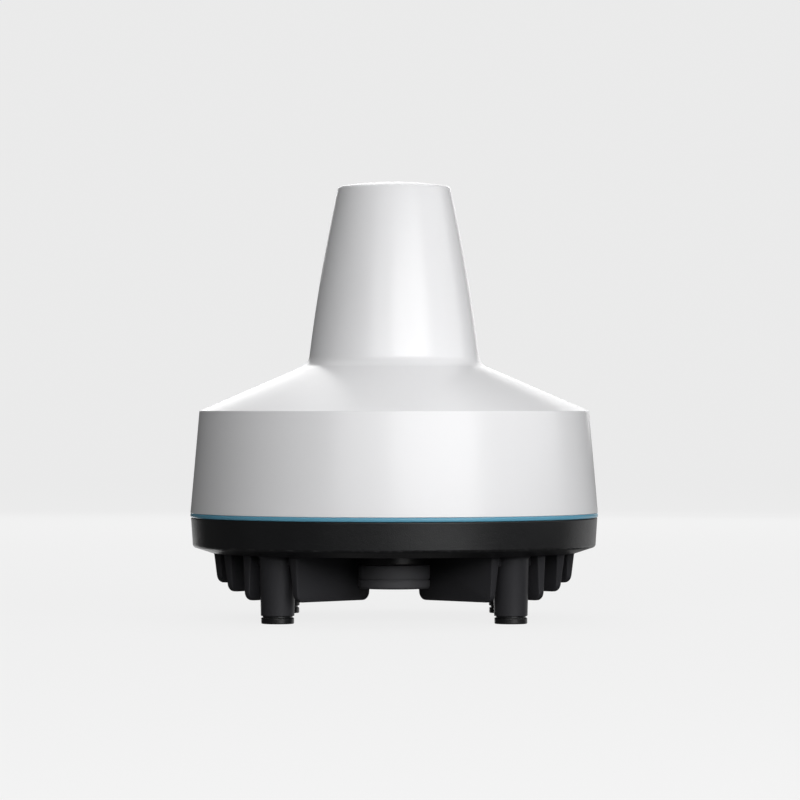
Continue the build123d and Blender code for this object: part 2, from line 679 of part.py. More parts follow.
with BuildPart() as helix_hub:
    with BuildSketch(Plane.XZ):
        with BuildLine():
            Polyline(
                (feed_r, plane_top_z),
                (hub_r, plane_top_z),
                (hub_r, plane_top_z + hub_flange_h),
                (former_r, plane_top_z + hub_flange_h),
                (former_r, plane_top_z + hub_step_h),
                (former_r - former_wall, plane_top_z + hub_step_h),
                (former_r - former_wall, hub_top_z),
                (feed_r, hub_top_z),
                close=True,
            )
        make_face()
    revolve(axis=Axis.Z)
helix_hub.part.label = "helix_hub"
export_step(helix_hub.part, "parts/helix_hub.step")

with BuildPart() as helix_former:
    with BuildSketch(Plane.XY.offset(plane_top_z + hub_step_h)):
        Circle(former_r)
        Circle(former_r - former_wall, mode=Mode.SUBTRACT)
    extrude(amount=former_top_z - plane_top_z - hub_step_h)
helix_former.part.label = "helix_former"
export_step(helix_former.part, "parts/helix_former.step")

arm_r = former_r + arm_t / 2 + arm_gap
with BuildPart() as arm:
    with BuildLine():
        Helix(2 * arm_h, arm_h, arm_r, center=(0, 0, arm_low_z))
    with BuildSketch(Plane(origin=(arm_r, 0, arm_low_z), x_dir=(1, 0, 0), z_dir=(0, 0, 1))):
        Rectangle(arm_t, arm_w)
    sweep(is_frenet=True)
with BuildPart() as helix_arms:
    with PolarLocations(0, 4):
        add(arm.part)
helix_arms.part.label = "helix_arms"
export_step(helix_arms.part, "parts/helix_arms.step")

with BuildPart() as helix_cap:
    with BuildSketch(Plane.XZ):
        with BuildLine():
            Polyline(
                (0, former_top_z - tip_cap_plug),
                (former_r - former_wall, former_top_z - tip_cap_plug),
                (former_r - former_wall, former_top_z),
                (tip_cap_r, former_top_z),
                (tip_cap_r, former_top_z + tip_cap_h),
                (0, former_top_z + tip_cap_h),
                close=True,
            )
        make_face()
    revolve(axis=Axis.Z)
    fillet(helix_cap.edges().filter_by(GeomType.CIRCLE).group_by(Axis.Z)[-1], tip_cap_round)
helix_cap.part.label = "helix_cap"
export_step(helix_cap.part, "parts/helix_cap.step")
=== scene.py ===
"""Builds the visible pieces, finishes and studio of a satellite receiver head around its CAD frame."""

import json
from math import acos, atan2, cos, pi, radians, sin, tan

import bmesh
import bpy
from bpy.props import FloatProperty, FloatVectorProperty, IntProperty, PointerProperty
from mathutils import Matrix, Vector


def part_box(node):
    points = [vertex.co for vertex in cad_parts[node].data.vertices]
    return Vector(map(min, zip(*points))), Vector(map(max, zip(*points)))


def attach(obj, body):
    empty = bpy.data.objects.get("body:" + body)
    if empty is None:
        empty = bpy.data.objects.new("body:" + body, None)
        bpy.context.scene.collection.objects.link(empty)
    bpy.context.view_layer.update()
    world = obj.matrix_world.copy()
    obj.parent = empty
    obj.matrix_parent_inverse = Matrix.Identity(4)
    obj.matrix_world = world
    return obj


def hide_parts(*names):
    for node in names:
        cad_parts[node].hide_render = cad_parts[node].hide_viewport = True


bl_info = {
    "name": "Satellite Receiver Head",
    "version": (1, 0, 0),
    "blender": (4, 5, 0),
    "location": "3D View > Sidebar > Receiver",
    "description": "Builds the pieces, finishes and studio of a satellite receiver head",
    "category": "Add Mesh",
}

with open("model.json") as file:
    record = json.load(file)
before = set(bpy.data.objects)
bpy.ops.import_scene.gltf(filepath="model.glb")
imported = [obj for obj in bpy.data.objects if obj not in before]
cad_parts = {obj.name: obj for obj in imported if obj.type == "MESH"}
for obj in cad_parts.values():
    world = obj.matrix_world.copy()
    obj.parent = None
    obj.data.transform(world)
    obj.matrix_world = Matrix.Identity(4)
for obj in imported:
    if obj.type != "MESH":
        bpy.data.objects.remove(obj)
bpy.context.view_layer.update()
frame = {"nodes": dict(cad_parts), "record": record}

MM = 0.001
QUADRANTS = 4
# Each row of fins: its distance from the diagonal, the height of its lower edge and the distance of
# its outer end in millimetres, and the lean of that end in degrees.
FIN_ROWS = ((11.1, 8.1, 64.3, 0.0), (24.4, 10.8, 61.5, 6.0), (37.7, 13.5, 54.1, 5.0))
# The free parts of the circuit board, each as low x, low y, high x and high y in millimetres.
BOARD_FIELDS = ((-44, 4, 2, 28), (-26, 28, 2, 42), (-8, -48, 8, -6), (-44, -4, -36, 2), (8, -44, 28, -30))
# The steps of a root fillet: how far each rises and how far it spreads, as shares of its radius.
FLARE_STEPS = ((0.35, 0.12), (0.4, 0.28), (0.25, 0.6))


# ---------------------------------------------------------------- settings
def length(name, description, millimetres):
    """A length that a user can change, with its default given in millimetres."""
    return FloatProperty(name=name, description=description, default=millimetres * MM, min=0.0,
                         unit="LENGTH", precision=5)


def colour(name, description, default):
    """A colour that a user can change."""
    return FloatVectorProperty(name=name, description=description, default=default, size=3,
                               min=0.0, max=1.0, subtype="COLOR")


class RadomeSettings(bpy.types.PropertyGroup):
    """Sizes and colours of the radome and of the ring under it."""

    rim_radius: length("Rim radius", "Radius of the tower at its top edge", 20.7)
    rim_height: length("Rim height", "Height of the tower's top edge above the feet", 159.5)
    rim_round: length("Rim rounding", "Radius of the tower's top edge", 1.3)
    belly_radius: length("Belly radius", "Radius of the tower at half its height", 27.0)
    belly_height: length("Belly height", "Height at which the belly radius holds", 126.9)
    waist_radius: length("Waist radius", "Radius where the tower would meet the shoulder", 31.7)
    waist_height: length("Waist height", "Height where the tower would meet the shoulder", 94.0)
    waist_round: length("Waist fillet", "Radius of the hollow between tower and shoulder", 5.0)
    crease_radius: length("Crease radius", "Radius of the edge between shoulder and skirt", 72.0)
    crease_height: length("Crease height", "Height of the edge between shoulder and skirt", 76.6)
    crease_round: length("Crease rounding", "Radius of the edge between shoulder and skirt", 0.35)
    wall: length("Wall", "Thickness of the moulding", 2.5)
    boss_radius: length("Boss radius", "Radius of each screw boss inside", 4.0)
    ring_gap: length("Ring bore gap", "Gap between the ring and the base inside it", 0.1)
    segments: IntProperty(name="Segments", description="Faces round the radome", default=256, min=32)
    white: colour("White", "Colour of the radome", (0.78, 0.78, 0.79))
    blue: colour("Blue", "Colour of the ring", (0.045, 0.24, 0.40))


class BaseSettings(bpy.types.PropertyGroup):
    """Sizes and colour of the fins, plates and posts under the base."""

    fin_root: length("Fin root", "Thickness of a fin where it leaves the base", 4.0)
    fin_tip: length("Fin tip", "Thickness of a fin at its lower edge", 2.2)
    fin_channel: length("Channel", "Half the gap between the front and rear fins", 3.0)
    corner_round: length("Corner rounding", "Radius of the lower corners of fins and plates", 3.0)
    edge_round: length("Edge rounding", "Radius of the cast edges", 0.45)
    root_flare: length("Root fillet", "Radius of the fillet where a cast wall leaves the base", 0.5)
    plate_beside: length("Plate offset", "Distance of a plate from its quadrant's diagonal", 11.1)
    plate_inner: length("Plate inner end", "Distance of a plate's inner end from the axis", 24.9)
    plate_outer: length("Plate outer end", "Distance of a plate's outer end from the axis", 62.6)
    plate_lean: FloatProperty(name="Plate lean", description="Lean of a plate's outer end",
                              default=radians(5.8), subtype="ANGLE")
    post_tip: length("Post tip", "Radius of a post above its foot", 6.05)
    web_height: length("Web height", "Height of the lower edge of the web through a post", 20.7)
    web: length("Web", "Thickness of the web through a post", 2.4)
    post_circle: length("Post circle", "Distance of each post from the axis", 59.397)
    black: colour("Black", "Colour of the powder coat", (0.0085, 0.0088, 0.0095))


class PortSettings(bpy.types.PropertyGroup):
    """Sizes and colours of the capped port."""

    groove_height: length("Groove height", "Height of the cap's grip groove", 15.85)
    groove_width: length("Groove width", "Width of the cap's grip groove", 0.6)
    groove_depth: length("Groove depth", "Depth of the cap's grip groove", 0.5)
    floor_height: length("Floor height", "Height of the floor inside the cap", 14.4)
    seat_height: length("Seat height", "Height of the seat of the gasket inside the cap", 13.65)
    dish_radius: length("Dish radius", "Radius of the shallow dish in the cap's end", 8.5)
    black: colour("Black", "Colour of the cap", (0.014, 0.0145, 0.0155))


class BoardSettings(bpy.types.PropertyGroup):
    """The small parts on the circuit board."""

    spacing: length("Spacing", "Least distance between two small parts", 2.6)
    seed: IntProperty(name="Seed", description="Seed of their places and sizes", default=7)
    turn_seed: IntProperty(name="Turn seed", description="Seed of their quarter turns", default=260)
    green: colour("Solder mask", "Colour of the circuit board", (0.012, 0.13, 0.05))


class StageSettings(bpy.types.PropertyGroup):
    """The floor, lights and camera."""

    floor: colour("Floor", "Colour of the floor and backdrop", (0.863, 0.863, 0.863))
    camera_distance: length("Camera distance", "Distance of the camera from the axis", 1591.0)
    lens: FloatProperty(name="Lens", description="Focal length in millimetres", default=193.5, min=1.0)
    key: FloatProperty(name="Key", description="Brightness of the key softbox", default=5.35, min=0.0)
    top: FloatProperty(name="Top", description="Brightness of the overhead softbox", default=1.0, min=0.0)
    back: FloatProperty(name="Back", description="Brightness of the softbox behind", default=1.45, min=0.0)
    rim: FloatProperty(name="Rim", description="Brightness of the low softboxes behind", default=1.0, min=0.0)
    front: FloatProperty(name="Front", description="Brightness of the front softbox", default=1.3, min=0.0)
    around: FloatProperty(name="Surround", description="Brightness all round", default=0.05, min=0.0)


SETTINGS = {
    "receiver_radome": RadomeSettings,
    "receiver_base": BaseSettings,
    "receiver_port": PortSettings,
    "receiver_board": BoardSettings,
    "receiver_stage": StageSettings,
}


# ---------------------------------------------------------------- shader kit
class Number:
    """A socket that carries a number. Arithmetic on it adds Math nodes to its material."""

    def __init__(self, finish, socket):
        self.finish = finish
        self.socket = socket

    def math(self, operation, other=0.0):
        node = self.finish.node("ShaderNodeMath", {"operation": operation}, {0: self, 1: other})
        return Number(self.finish, node.outputs[0])

    def __add__(self, other):
        return self.math("ADD", other)

    def __sub__(self, other):
        return self.math("SUBTRACT", other)

    def __rsub__(self, other):
        return self.math("MULTIPLY", -1.0) + other

    def __mul__(self, other):
        return self.math("MULTIPLY", other)

    __radd__ = __add__
    __rmul__ = __mul__

    def between(self, low, high):
        """0 at low, 1 at high, and a smooth step from one to the other."""
        node = self.finish.node(
            "ShaderNodeMapRange",
            {"interpolation_type": "SMOOTHSTEP"},
            {"Value": self, "From Min": low, "From Max": high},
        )
        return Number(self.finish, node.outputs[0])

    def near(self, value, reach):
        """1 at value, falling to 0 at reach from it."""
        return (self - value).math("ABSOLUTE").between(reach, 0.0)


class Finish:
    """A material with one shader, filled in by its methods."""

    def __init__(self, slot, roughness, metallic=0.0, **constants):
        self.material = bpy.data.materials.new(slot)
        self.material.use_nodes = True
        self.tree = self.material.node_tree
        self.shader = self.tree.nodes["Principled BSDF"]
        self.place = self.node("ShaderNodeTexCoord").outputs["Object"]
        self.put("Roughness", roughness)
        self.put("Metallic", metallic)
        for name, value in constants.items():
            self.put(name.replace("_", " "), value)

    def node(self, kind, settings=None, inputs=None):
        """Adds a node: its settings first, then the values or links of its sockets."""
        node = self.tree.nodes.new(kind)
        for name, value in (settings or {}).items():
            setattr(node, name, value)
        for key, value in (inputs or {}).items():
            self.feed(node.inputs[key], value)
        return node

    def feed(self, socket, value):
        """Gives a socket a value or a link."""
        if isinstance(value, Number):
            value = value.socket
        if isinstance(value, bpy.types.NodeSocket):
            self.tree.links.new(value, socket)
        else:
            socket.default_value = value

    def put(self, name, value):
        """Sets one of the shader's own sockets."""
        if isinstance(value, tuple) and len(value) == 3:
            value = (*value, 1.0)
        self.feed(self.shader.inputs[name], value)

    def axes(self):
        """The point's own coordinates, in metres, as three numbers."""
        node = self.node("ShaderNodeSeparateXYZ", inputs={0: self.place})
        return [Number(self, output) for output in node.outputs]

    def radius(self):
        """The distance from the head's axis, in metres."""
        x, y, _ = self.axes()
        return (x * x + y * y).math("SQRT")

    def noise(self, size, detail=2.0, stretch=(1.0, 1.0, 1.0)):
        """Soft random numbers from 0 to 1, in patches of about size metres."""
        scale = tuple(part / size for part in stretch)
        mapping = self.node("ShaderNodeMapping", inputs={"Vector": self.place, "Scale": scale})
        noise = self.node("ShaderNodeTexNoise", inputs={"Vector": mapping.outputs[0], "Scale": 1.0,
                                                        "Detail": detail})
        return Number(self, noise.outputs["Fac"])

    def specks(self, size):
        """The distance to the nearest of many random points, size metres apart."""
        mapping = self.node("ShaderNodeMapping", inputs={"Vector": self.place,
                                                         "Scale": (1 / size, 1 / size, 1 / size)})
        cells = self.node("ShaderNodeTexVoronoi", inputs={"Vector": mapping.outputs[0], "Scale": 1.0})
        return Number(self, cells.outputs["Distance"])

    def tint(self, factor, first, second):
        """A mix of two colours."""
        pair = [(*part, 1.0) if isinstance(part, tuple) and len(part) == 3 else part
                for part in (first, second)]
        node = self.node("ShaderNodeMix", {"data_type": "RGBA"}, {0: factor, 6: pair[0], 7: pair[1]})
        return node.outputs[2]

    def bump(self, height, depth, strength=1.0):
        """Raises the surface by height, a number from 0 to 1, times depth in metres."""
        node = self.node("ShaderNodeBump", inputs={"Height": height, "Strength": strength,
                                                   "Distance": depth})
        self.put("Normal", node.outputs[0])


def shade(colour_value, share):
    """A colour made lighter or darker by a share of itself."""
    return tuple(min(1.0, part * share) for part in colour_value)


# ---------------------------------------------------------------- finishes
def gelcoat(slot, base):
    """Gloss white moulding: a faint orange peel under a hard clear coat, with a little weathering."""
    finish = Finish(slot, 0.1, Coat_Weight=1.0, Coat_Roughness=0.015, Coat_IOR=1.65, IOR=1.5)
    _, _, z = finish.axes()
    patches = finish.noise(0.045, 3.0)
    haze = finish.noise(0.006, 4.0)
    aged = (base[0] * 0.985, base[1] * 0.985, base[2] * 0.99)
    clean = finish.tint(patches.between(0.35, 0.7), base, aged)
    hem_low, hem_high = 0.0388, 0.0412
    dust = (1 - z.between(hem_low, hem_high)) * haze.between(0.4, 0.75) * 0.25
    finish.put("Base Color", finish.tint(dust, clean, shade(base, 0.75)))
    finish.put("Roughness", haze * 0.05 + 0.045)
    finish.put("Coat Weight", 1 - haze.between(0.72, 0.9) * 0.15)
    finish.bump(finish.noise(0.0032, 1.0) * 0.7 + finish.noise(0.0011, 1.0) * 0.3, 0.0000022)
    return finish.material


def satin_ring(slot, base):
    """Satin blue trim with fine turning marks and paler, slightly rubbed edges."""
    finish = Finish(slot, 0.34, Coat_Weight=0.35, Coat_Roughness=0.2)
    _, _, z = finish.axes()
    low, high = (corner.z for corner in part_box("trim_ring"))
    rubbed = (z.near(low, 0.00035) + z.near(high, 0.00035)) * finish.noise(0.002, 3.0).between(0.45, 0.7)
    patches = finish.noise(0.02, 2.0)
    even = finish.tint(patches, shade(base, 0.93), shade(base, 1.07))
    finish.put("Base Color", finish.tint(rubbed * 0.4, even, shade(base, 1.5)))
    finish.put("Roughness", finish.noise(0.0012, 2.0) * 0.12 + 0.3)
    finish.bump(finish.noise(0.003, 2.0, (1.0, 1.0, 30.0)), 0.000004)
    return finish.material


def powder_coat(slot, base):
    """Fine-textured black powder coat over cast aluminium, rubbed paler where hands and bolts reach."""
    finish = Finish(slot, 0.33, IOR=1.5)
    _, _, z = finish.axes()
    reach = finish.radius()
    grain = finish.specks(0.00042)
    swell = finish.noise(0.0016, 3.0)
    patches = finish.noise(0.03, 3.0)
    low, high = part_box("base_casting")
    rim_height, heel_radius = 0.0268, 0.0677
    rim = reach.near(high.x - 0.0006, 0.0006) * z.near(rim_height, 0.0007)
    heel = reach.near(heel_radius, 0.0008) * z.near(low.z, 0.0006)
    rubbed = (rim + heel) * finish.noise(0.004, 4.0).between(0.45, 0.72)
    dusty = patches.between(0.4, 0.8)
    even = finish.tint(dusty, base, shade(base, 1.35))
    finish.put("Base Color", finish.tint(rubbed * 0.5, even, (0.09, 0.09, 0.092)))
    finish.put("Roughness", swell * 0.12 + dusty * 0.05 + 0.27)
    finish.bump(grain * 0.6 + swell * 0.6, 0.00006, 0.7)
    return finish.material


def moulded(slot, base, roughness, grain_size, depth, spread=0.12):
    """Moulded plastic or rubber: fine spark-eroded grain, slow colour drift and scuffs."""
    finish = Finish(slot, roughness)
    patches = finish.noise(0.012, 3.0)
    scuffs = finish.noise(0.0015, 4.0, (1.0, 1.0, 4.0)).between(0.62, 0.8)
    even = finish.tint(patches, shade(base, 1 - spread), shade(base, 1 + spread))
    finish.put("Base Color", finish.tint(scuffs * 0.2, even, tuple(part * 0.7 + 0.06 for part in base)))
    finish.put("Roughness", patches * 0.1 + scuffs * 0.08 + roughness - 0.05)
    finish.bump(finish.noise(grain_size, 3.0), depth, 0.6)
    return finish.material


def turned(slot, base, roughness, stretch=(1.0, 1.0, 24.0), tarnish=0.25):
    """Machined or plated metal: fine tool marks, soft stains and slightly uneven gloss."""
    finish = Finish(slot, roughness, 1.0)
    marks = finish.noise(0.0016, 3.0, stretch)
    stains = finish.noise(0.006, 4.0).between(0.45, 0.8)
    even = finish.tint(marks, shade(base, 0.92), shade(base, 1.05))
    finish.put("Base Color", finish.tint(stains * tarnish, even, shade(base, 0.6)))
    finish.put("Roughness", marks * 0.12 + stains * 0.15 + roughness - 0.05)
    finish.bump(marks, 0.000008, 0.6)
    return finish.material


def circuit_board(slot, base):
    """Green solder mask over copper tracks, with vias."""
    finish = Finish(slot, 0.3, Coat_Weight=0.5, Coat_Roughness=0.15)
    x, y, _ = finish.axes()
    lanes = (x * 2400.0 + finish.noise(0.02, 0.0) * 22.0).math("SINE").between(0.55, 0.8)
    cross = (y * 2100.0 + finish.noise(0.025, 0.0) * 20.0).math("SINE").between(0.6, 0.85)
    blocks = finish.noise(0.014, 1.0).between(0.48, 0.52)
    tracks = lanes * blocks + cross * (1 - blocks)
    vias = finish.specks(0.0034).between(0.13, 0.1)
    masked = finish.tint(tracks, base, shade(base, 1.9))
    finish.put("Base Color", finish.tint(vias, masked, (0.55, 0.42, 0.2)))
    finish.put("Metallic", vias * 0.8)
    finish.put("Roughness", 0.34 - tracks * 0.08)
    finish.bump(tracks + vias * 0.5, 0.00002)
    return finish.material


def make_finishes(context):
    """One finish for each of the record's slots."""
    scene = context.scene
    black = tuple(scene.receiver_base.black)
    cap = tuple(scene.receiver_port.black)
    return {
        "radome_white": gelcoat("radome_white", tuple(scene.receiver_radome.white)),
        "ring_blue": satin_ring("ring_blue", tuple(scene.receiver_radome.blue)),
        "base_black": powder_coat("base_black", black),
        "cap_black": moulded("cap_black", cap, 0.42, 0.0005, 0.00003),
        "vent_black": moulded("vent_black", cap, 0.5, 0.0006, 0.00003),
        "collar_black": moulded("collar_black", shade(black, 0.8), 0.3, 0.0005, 0.00002),
        "seal_rubber": moulded("seal_rubber", (0.018, 0.018, 0.019), 0.7, 0.0008, 0.00003),
        "pad_grey": moulded("pad_grey", (0.30, 0.34, 0.38), 0.8, 0.0009, 0.00008),
        "insulator_white": moulded("insulator_white", (0.78, 0.78, 0.76), 0.45, 0.0012, 0.00001, 0.03),
        "former_cream": moulded("former_cream", (0.70, 0.66, 0.55), 0.5, 0.0007, 0.00002, 0.05),
        "chip_black": moulded("chip_black", (0.03, 0.03, 0.032), 0.55, 0.0004, 0.00002),
        "insert_brass": turned("insert_brass", (0.72, 0.52, 0.24), 0.3),
        "contact_gold": turned("contact_gold", (0.86, 0.62, 0.25), 0.22, tarnish=0.1),
        "steel": turned("steel", (0.56, 0.56, 0.57), 0.32),
        "nickel": turned("nickel", (0.62, 0.60, 0.56), 0.24),
        "tinned": turned("tinned", (0.66, 0.66, 0.66), 0.38, (1.0, 12.0, 1.0)),
        "aluminium": turned("aluminium", (0.72, 0.72, 0.73), 0.4, (1.0, 16.0, 1.0), 0.15),
        "copper": turned("copper", (0.72, 0.36, 0.2), 0.32),
        "board_green": circuit_board("board_green", tuple(scene.receiver_board.green)),
    }


def finish_for(slot):
    """The material made for a slot of the record."""
    return bpy.data.materials[slot]


# ---------------------------------------------------------------- outlines
def rounded(corners, steps=6):
    """An outline through corners given as (radius, height, rounding), with an arc at each rounded one."""
    points = []
    for i, (r, z, rounding) in enumerate(corners):
        here = Vector((r, z))
        if rounding == 0.0:
            points.append(here)
            continue
        back = (Vector(corners[i - 1][:2]) - here).normalized()
        ahead = (Vector(corners[(i + 1) % len(corners)][:2]) - here).normalized()
        half = acos(max(-1.0, min(1.0, back.dot(ahead)))) / 2
        middle = here + (back + ahead).normalized() * (rounding / sin(half))
        start = here + back * (rounding / tan(half)) - middle
        end = here + ahead * (rounding / tan(half)) - middle
        sweep = atan2(start.x * end.y - start.y * end.x, start.dot(end))
        for step in range(steps + 1):
            turn = sweep * step / steps
            points.append(middle + Matrix.Rotation(turn, 2) @ start)
    return points


def arc_through(start, middle, end, steps):
    """Points of the arc through three points, its two ends left out."""
    a, b, c = (Vector(point) for point in (start, middle, end))
    d = 2 * (a.x * (b.y - c.y) + b.x * (c.y - a.y) + c.x * (a.y - b.y))
    centre = Vector((
        (a.dot(a) * (b.y - c.y) + b.dot(b) * (c.y - a.y) + c.dot(c) * (a.y - b.y)) / d,
        (a.dot(a) * (c.x - b.x) + b.dot(b) * (a.x - c.x) + c.dot(c) * (b.x - a.x)) / d,
    ))
    first, last = a - centre, c - centre
    sweep = atan2(first.x * last.y - first.y * last.x, first.dot(last))
    return [centre + Matrix.Rotation(sweep * i / steps, 2) @ first for i in range(1, steps)]


# ---------------------------------------------------------------- geometry kit
def new_tree(name, inputs):
    """An empty geometry node tree with named inputs, and the helpers that fill it."""
    tree = bpy.data.node_groups.new(name, "GeometryNodeTree")
    tree.interface.new_socket("Geometry", in_out="INPUT", socket_type="NodeSocketGeometry")
    for label, kind in inputs:
        tree.interface.new_socket(label, in_out="INPUT", socket_type=kind)
    tree.interface.new_socket("Geometry", in_out="OUTPUT", socket_type="NodeSocketGeometry")

    def node(kind, settings=None, inputs=None):
        made = tree.nodes.new(kind)
        for key, value in (settings or {}).items():
            setattr(made, key, value)
        for key, value in (inputs or {}).items():
            if isinstance(value, bpy.types.NodeSocket):
                tree.links.new(value, made.inputs[key])
            else:
                made.inputs[key].default_value = value
        return made

    def maths(operation, first, second=0.0):
        return node("ShaderNodeMath", {"operation": operation}, {0: first, 1: second}).outputs[0]

    source = node("NodeGroupInput")
    return tree, node, maths, source


def close_tree(tree, node, geometry, material):
    """Ends a tree: its instances made real, and its material set."""
    real = node("GeometryNodeRealizeInstances", inputs={0: geometry})
    painted = node("GeometryNodeSetMaterial", inputs={0: real.outputs[0], "Material": material})
    node("NodeGroupOutput", inputs={0: painted.outputs[0]})
    return tree


def lathe_tree():
    """Turns an outline, given as points in order, about the Z axis into a closed surface."""
    tree, node, maths, source = new_tree(
        "lathe", [("Segments", "NodeSocketInt"), ("Material", "NodeSocketMaterial")]
    )
    segments = source.outputs["Segments"]
    size = node("GeometryNodeAttributeDomainSize", {"component": "MESH"}, {0: source.outputs[0]})
    count = size.outputs["Point Count"]
    columns = maths("ADD", segments, 1.0)
    grid = node("GeometryNodeMeshGrid", inputs={"Vertices X": columns, "Vertices Y": count})
    index = node("GeometryNodeInputIndex").outputs[0]
    column = maths("FLOOR", maths("DIVIDE", maths("ADD", index, 0.5), count))
    row = maths("SUBTRACT", index, maths("MULTIPLY", column, count))
    place = node("GeometryNodeInputPosition").outputs[0]
    sample = node(
        "GeometryNodeSampleIndex",
        {"data_type": "FLOAT_VECTOR", "domain": "POINT"},
        {"Geometry": source.outputs[0], "Value": place, "Index": row},
    )
    apart = node("ShaderNodeSeparateXYZ", inputs={0: sample.outputs[0]})
    angle = maths("DIVIDE", maths("MULTIPLY", column, 2 * pi), segments)
    x = maths("MULTIPLY", apart.outputs[0], maths("COSINE", angle))
    y = maths("MULTIPLY", apart.outputs[0], maths("SINE", angle))
    spot = node("ShaderNodeCombineXYZ", inputs={0: x, 1: y, 2: apart.outputs[2]})
    turned_grid = node(
        "GeometryNodeSetPosition", inputs={0: grid.outputs["Mesh"], "Position": spot.outputs[0]}
    )
    merged = node("GeometryNodeMergeByDistance", inputs={0: turned_grid.outputs[0], "Distance": 1e-6})
    return close_tree(tree, node, merged.outputs[0], source.outputs["Material"])


def quadrant_tree():
    """Sets one copy of its geometry in each quadrant, along the diagonal and beside it."""
    tree, node, maths, source = new_tree(
        "quadrants", [("Beside", "NodeSocketFloat"), ("Material", "NodeSocketMaterial")]
    )
    index = node("GeometryNodeInputIndex").outputs[0]
    angle = maths("ADD", maths("MULTIPLY", index, pi / 2), -pi / 4)
    side = maths("SUBTRACT", 1.0, maths("MULTIPLY", maths("MODULO", index, 2.0), 2.0))
    beside = maths("MULTIPLY", side, source.outputs["Beside"])
    x = maths("MULTIPLY", maths("MULTIPLY", beside, -1.0), maths("SINE", angle))
    y = maths("MULTIPLY", beside, maths("COSINE", angle))
    spot = node("ShaderNodeCombineXYZ", inputs={0: x, 1: y})
    points = node("GeometryNodePoints", inputs={"Count": QUADRANTS, "Position": spot.outputs[0]})
    euler = node("ShaderNodeCombineXYZ", inputs={2: angle})
    turn = node("FunctionNodeEulerToRotation", inputs={0: euler.outputs[0]})
    placed = node(
        "GeometryNodeInstanceOnPoints",
        inputs={"Points": points.outputs[0], "Instance": source.outputs[0], "Rotation": turn.outputs[0]},
    )
    return close_tree(tree, node, placed.outputs[0], source.outputs["Material"])


def scatter_tree():
    """Scatters small boxes over the faces it is given, each of its own size."""
    tree, node, maths, source = new_tree(
        "scatter",
        [("Spacing", "NodeSocketFloat"), ("Seed", "NodeSocketInt"), ("TurnSeed", "NodeSocketInt"),
         ("Material", "NodeSocketMaterial")],
    )
    smallest, largest = (0.0010, 0.0006, 0.0004), (0.0022, 0.0014, 0.0011)
    most_per_square_metre = 60000.0
    area = node("GeometryNodeDistributePointsOnFaces", {"distribute_method": "POISSON"},
                {"Mesh": source.outputs[0], "Distance Min": source.outputs["Spacing"],
                 "Density Max": most_per_square_metre, "Seed": source.outputs["Seed"]})
    size = node("FunctionNodeRandomValue", {"data_type": "FLOAT_VECTOR"},
                {0: smallest, 1: largest, "Seed": source.outputs["Seed"]})
    quarter = node("FunctionNodeRandomValue", {"data_type": "INT"},
                   {4: 0, 5: 1, "Seed": source.outputs["TurnSeed"]})
    euler = node("ShaderNodeCombineXYZ", inputs={2: maths("MULTIPLY", quarter.outputs[2], pi / 2)})
    turn = node("FunctionNodeEulerToRotation", inputs={0: euler.outputs[0]})
    cube = node("GeometryNodeMeshCube", inputs={"Size": (1.0, 1.0, 1.0)})
    raised = node("GeometryNodeTransform", inputs={0: cube.outputs[0], "Translation": (0.0, 0.0, 0.5)})
    placed = node(
        "GeometryNodeInstanceOnPoints",
        inputs={"Points": area.outputs[0], "Instance": raised.outputs[0], "Rotation": turn.outputs[0],
                "Scale": size.outputs[0]},
    )
    return close_tree(tree, node, placed.outputs[0], source.outputs["Material"])


def through_tree(mesh, tree, **inputs):
    """The plain mesh that a node tree makes from a mesh."""
    carrier = bpy.data.objects.new(mesh.name, mesh)
    bpy.context.scene.collection.objects.link(carrier)
    modifier = carrier.modifiers.new("shape", "NODES")
    modifier.node_group = tree
    for item in tree.interface.items_tree:
        if item.in_out == "INPUT" and item.name in inputs:
            modifier[item.identifier] = inputs[item.name]
    evaluated = carrier.evaluated_get(bpy.context.evaluated_depsgraph_get())
    made = bpy.data.meshes.new_from_object(evaluated)
    carrier.modifiers.remove(modifier)
    bpy.data.objects.remove(carrier)
    return made


def outline_mesh(name, points):
    """A mesh of bare points, from an outline of (radius, height) pairs."""
    mesh = bpy.data.meshes.new(name)
    edges = [(i, i + 1) for i in range(len(points) - 1)]
    mesh.from_pydata([(point[0], 0.0, point[1]) for point in points], edges, [])
    return mesh


def lathe(name, points, slot, segments, closed=False):
    """A turned mesh from an outline, with its finish."""
    if closed:
        points = [*points, points[0]]
    mesh = through_tree(outline_mesh(name, points), tree_named("lathe"), Segments=segments,
                        Material=finish_for(slot))
    outward(mesh)
    return mesh


def tree_named(name):
    """A node tree by name, made the first time it is asked for."""
    makers = {"lathe": lathe_tree, "quadrants": quadrant_tree, "scatter": scatter_tree}
    return bpy.data.node_groups.get(name) or makers[name]()


def outward(mesh):
    """Merges doubles and turns every face outwards."""
    work = bmesh.new()
    work.from_mesh(mesh)
    bmesh.ops.remove_doubles(work, verts=work.verts, dist=1e-6)
    bmesh.ops.dissolve_degenerate(work, edges=work.edges, dist=1e-7)
    bmesh.ops.recalc_face_normals(work, faces=work.faces)
    work.to_mesh(mesh)
    work.free()


def joined(name, meshes):
    """One mesh from several that have the same finish."""
    work = bmesh.new()
    for mesh in meshes:
        work.from_mesh(mesh)
    whole = bpy.data.meshes.new(name)
    work.to_mesh(whole)
    work.free()
    for material in meshes[0].materials:
        whole.materials.append(material)
    return whole


